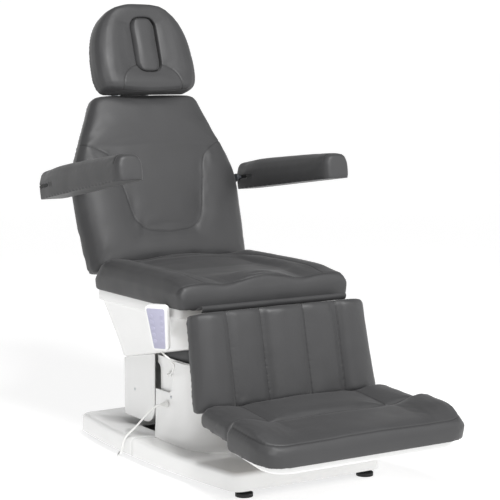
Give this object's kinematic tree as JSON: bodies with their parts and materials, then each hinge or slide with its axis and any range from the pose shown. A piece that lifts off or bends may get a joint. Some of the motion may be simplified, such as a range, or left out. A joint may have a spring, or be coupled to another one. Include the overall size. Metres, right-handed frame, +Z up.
{
  "type": "facial treatment bed",
  "caption": "Powered facial treatment bed: lifting column on a flat base, reclining back with sliding headrest and face plug, folding arm pads, raising calf section and extending foot rest.",
  "frame": {"origin": "on the floor, under the middle of the bed without its free cord", "axes": "+Z up, the foot end towards -Y, +X on the sitter's left"},
  "size_m": [0.8536, 1.4278, 1.4329],
  "materials": {
    "frame_steel": "satin",
    "bright_steel": "satin",
    "white_plastic": "gloss",
    "black_plastic": "matte",
    "white_cord": "satin",
    "keypad": "matte",
    "rubber": "matte",
    "plywood": "matte",
    "black_board": "satin",
    "leatherette": "satin"
  },
  "bodies": {
    "base": {"base_frame": "frame_steel", "base_cover_front": "white_plastic", "base_cover_rear": "white_plastic", "foot_studs": "bright_steel", "foot_pads": "rubber", "column_boot": "white_plastic", "column_outer": "frame_steel", "lift_motor": "black_plastic", "control_box": "black_plastic", "mains_gland": "black_plastic", "mains_cord": "white_cord", "mains_coil": "white_cord", "mains_plug": "white_cord"},
    "column_stage": {"column_middle": "frame_steel"},
    "carriage": {"column_inner": "bright_steel", "lift_head": "frame_steel", "seat_frame": "frame_steel", "seat_board": "plywood", "seat_cushion": "leatherette", "seat_tub": "white_plastic", "column_rear_cover": "white_plastic", "column_sleeve": "white_plastic", "hinge_ears": "frame_steel", "hinge_pins": "bright_steel", "back_actuator": "black_plastic", "leg_actuator": "black_plastic", "handset_hook": "white_plastic", "handset_case": "white_plastic", "handset_keypad": "keypad", "cord_grommet": "black_plastic", "handset_cord": "white_cord", "gap_flap": "leatherette"},
    "back": {"back_frame": "frame_steel", "back_board": "plywood", "back_cushion": "leatherette", "head_sockets": "frame_steel", "arm_bracket_left": "frame_steel", "arm_bracket_right": "frame_steel"},
    "back_ram": {"back_rod": "bright_steel"},
    "calf": {"leg_frame": "frame_steel", "leg_board": "plywood", "leg_cushion": "leatherette", "foot_pins": "bright_steel"},
    "calf_ram": {"leg_rod": "bright_steel"},
    "foot": {"foot_frame": "frame_steel", "foot_rear_board": "plywood", "foot_rear_cushion": "leatherette"},
    "foot_extension": {"foot_slide_rods": "bright_steel", "foot_tray": "white_plastic", "foot_front_cushion": "leatherette"},
    "head_slide": {"head_yoke": "bright_steel", "head_pin": "bright_steel"},
    "headrest": {"head_board": "black_board", "head_cushion": "leatherette"},
    "plug": {"face_plug": "leatherette"},
    "arm_left": {"arm_core_left": "frame_steel", "arm_pad_left": "leatherette"},
    "arm_right": {"arm_core_right": "frame_steel", "arm_pad_right": "leatherette"}
  },
  "joints": [
    {"name": "lift", "type": "slide", "parent": "base", "child": "carriage", "axis": [0, 0, 1], "range_m": [0, 0.22]},
    {"name": "column_stage_slide", "type": "slide", "parent": "base", "child": "column_stage", "axis": [0, 0, 1], "range_m": [0, 0.11]},
    {"name": "back_recline", "type": "hinge", "parent": "carriage", "child": "back", "pos_m": [0, 0.417, 0.535], "axis": [-1, 0, 0], "range_deg": [0, 71.7]},
    {"name": "back_ram_slide", "type": "slide", "parent": "carriage", "child": "back_ram", "axis": [0, -1, 0], "range_m": [0, 0.1137]},
    {"name": "calf_raise", "type": "hinge", "parent": "carriage", "child": "calf", "pos_m": [0, -0.181, 0.5], "axis": [-1, 0, 0], "range_deg": [0, 77.5], "deforming": ["gap_flap"]},
    {"name": "calf_ram_slide", "type": "slide", "parent": "carriage", "child": "calf_ram", "axis": [0, -1, 0], "range_m": [0, 0.1134]},
    {"name": "foot_fold", "type": "hinge", "parent": "calf", "child": "foot", "pos_m": [0, -0.30017, 0.22118], "axis": [-1, 0, 0], "range_deg": [-72.2, 0]},
    {"name": "foot_extend", "type": "slide", "parent": "foot", "child": "foot_extension", "axis": [0, -0.9954, -0.0958], "range_m": [0, 0.12]},
    {"name": "head_height", "type": "slide", "parent": "back", "child": "head_slide", "axis": [0, 0.314, 0.9494], "range_m": [0, 0.09]},
    {"name": "head_tilt", "type": "hinge", "parent": "head_slide", "child": "headrest", "pos_m": [0, 0.66334, 1.13826], "axis": [-1, 0, 0], "range_deg": [0, 35]},
    {"name": "plug_out", "type": "slide", "parent": "headrest", "child": "plug", "axis": [0, -0.9494, 0.314], "range_m": [0, 0.11]},
    {"name": "arm_left_fold", "type": "hinge", "parent": "back", "child": "arm_left", "pos_m": [0.376, 0.5, 0.844], "axis": [-1, 0, 0], "range_deg": [0, 95]},
    {"name": "arm_right_fold", "type": "hinge", "parent": "back", "child": "arm_right", "pos_m": [-0.376, 0.5, 0.844], "axis": [-1, 0, 0], "range_deg": [0, 95]}
  ],
  "couplings": [
    {"joint": "column_stage_slide", "follows": "lift", "ratio": 0.5},
    {"joint": "back_ram_slide", "follows": "back_recline", "m_per_rad": 0.09007},
    {"joint": "calf_ram_slide", "follows": "calf_raise", "m_per_rad": 0.08307},
    {"joint": "foot_fold", "follows": "calf_raise", "ratio": -0.929}
  ]
}
